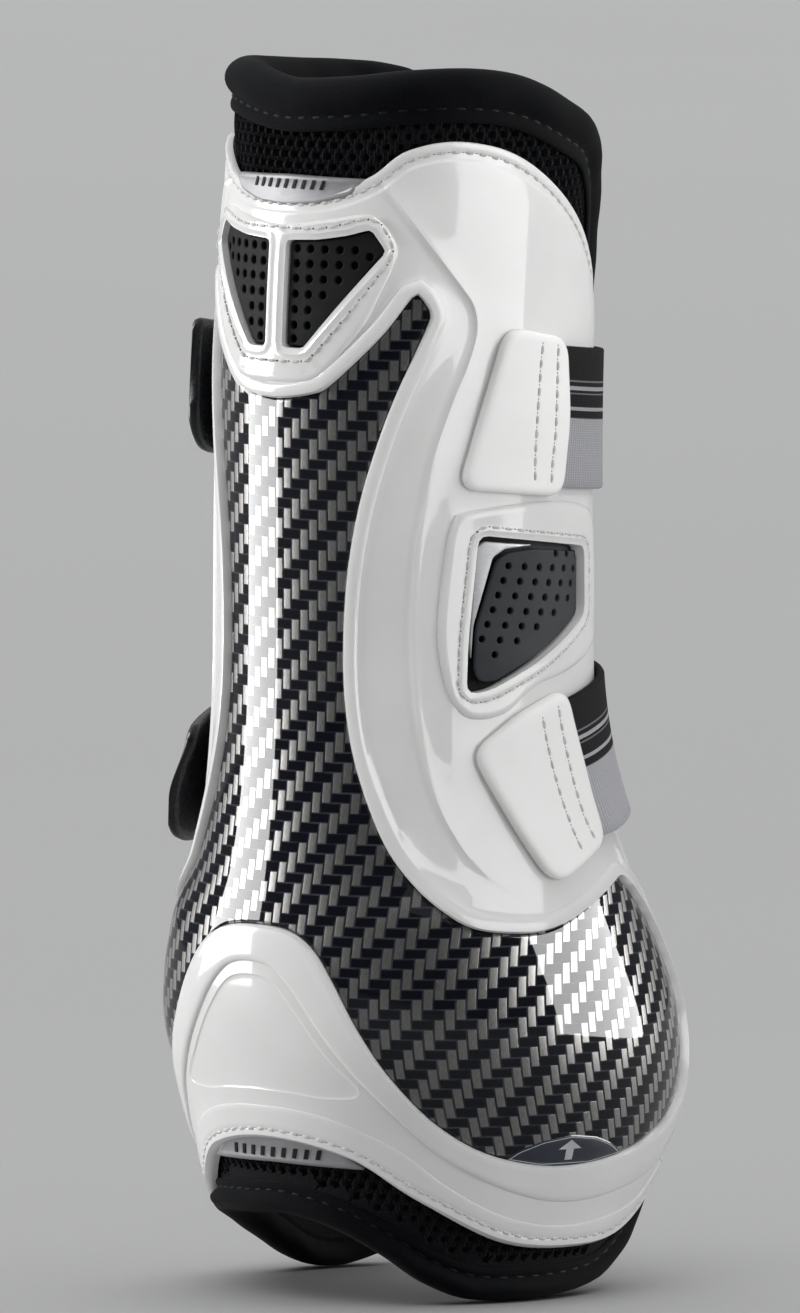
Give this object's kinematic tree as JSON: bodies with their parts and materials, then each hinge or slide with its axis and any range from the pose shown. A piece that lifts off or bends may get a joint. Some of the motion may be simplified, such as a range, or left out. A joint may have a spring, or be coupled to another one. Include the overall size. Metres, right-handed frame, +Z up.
{
  "type": "tendon boot",
  "caption": "Open-front tendon boot for a horse's foreleg: moulded shell with woven-look strike panel and vents, padded liner, and elastic straps that swing open and peel off.",
  "frame": {"origin": "bottom centre of the boot's box, on the plane its two lower lobes stand on", "axes": "+Z up along the leg, +Y the open front, -Y the tendon side, +X the side where the straps are sewn on"},
  "size_m": [0.1126, 0.1097, 0.2803],
  "materials": {
    "shell_white": "glossy moulded flexible polyurethane",
    "woven_panel": "carbon-look twill under a clear gloss layer",
    "vent_rubber": "satin perforated rubber",
    "pull_rubber": "satin moulded rubber",
    "badge_silver": "brushed metallised silver",
    "liner_black": "open honeycomb spacer mesh",
    "lining_black": "knitted lining on closed-cell foam",
    "binding_black": "soft stretch binding, matte",
    "foam_grey": "closed-cell impact foam",
    "strap_webbing": "woven elastic with black and silver bands",
    "hook_black": "hook-and-loop tape",
    "marker_navy": "printed gloss inlay"
  },
  "bodies": {
    "boot": {"outer_shell": "shell_white", "strike_panel": "woven_panel", "rear_vent_right": "vent_rubber", "rear_vent_left": "vent_rubber", "side_vent_right": "vent_rubber", "side_vent_left": "vent_rubber", "side_trim_right": "badge_silver", "side_trim_left": "badge_silver", "leg_marker": "marker_navy", "spacer_mesh": "liner_black", "inner_lining": "lining_black", "tendon_pad": "foam_grey", "fetlock_pad": "foam_grey", "top_binding": "binding_black", "bottom_binding": "binding_black", "front_binding_right": "binding_black", "front_binding_left": "binding_black", "top_badge": "badge_silver", "bottom_badge": "badge_silver", "upper_strap_tab": "shell_white", "upper_strap_root": "strap_webbing", "upper_loop_pad": "hook_black", "lower_strap_tab": "shell_white", "lower_strap_root": "strap_webbing", "lower_loop_pad": "hook_black"},
    "upper_strap": {"upper_strap": "strap_webbing"},
    "upper_strap_end": {"upper_pull_tab": "pull_rubber", "upper_hook_patch": "hook_black"},
    "lower_strap": {"lower_strap": "strap_webbing"},
    "lower_strap_end": {"lower_pull_tab": "pull_rubber", "lower_hook_patch": "hook_black"}
  },
  "joints": [
    {"name": "upper_strap_swing", "type": "hinge", "parent": "boot", "child": "upper_strap", "pos_m": [0.04339, 0.00686, 0.1997], "axis": [0.024, -0.1258, -0.9918], "range_deg": [0, 120]},
    {"name": "upper_tab_peel", "type": "hinge", "parent": "upper_strap", "child": "upper_strap_end", "pos_m": [-0.0421, 0.01937, 0.19852], "axis": [-0.0438, -0.1001, -0.994], "range_deg": [0, 75]},
    {"name": "lower_strap_swing", "type": "hinge", "parent": "boot", "child": "lower_strap", "pos_m": [0.044, 0.0112, 0.121], "axis": [0.0551, 0.2349, -0.9705], "range_deg": [0, 120]},
    {"name": "lower_tab_peel", "type": "hinge", "parent": "lower_strap", "child": "lower_strap_end", "pos_m": [-0.04339, 0.02035, 0.12231], "axis": [-0.0187, 0.2222, -0.9748], "range_deg": [0, 75]}
  ]
}
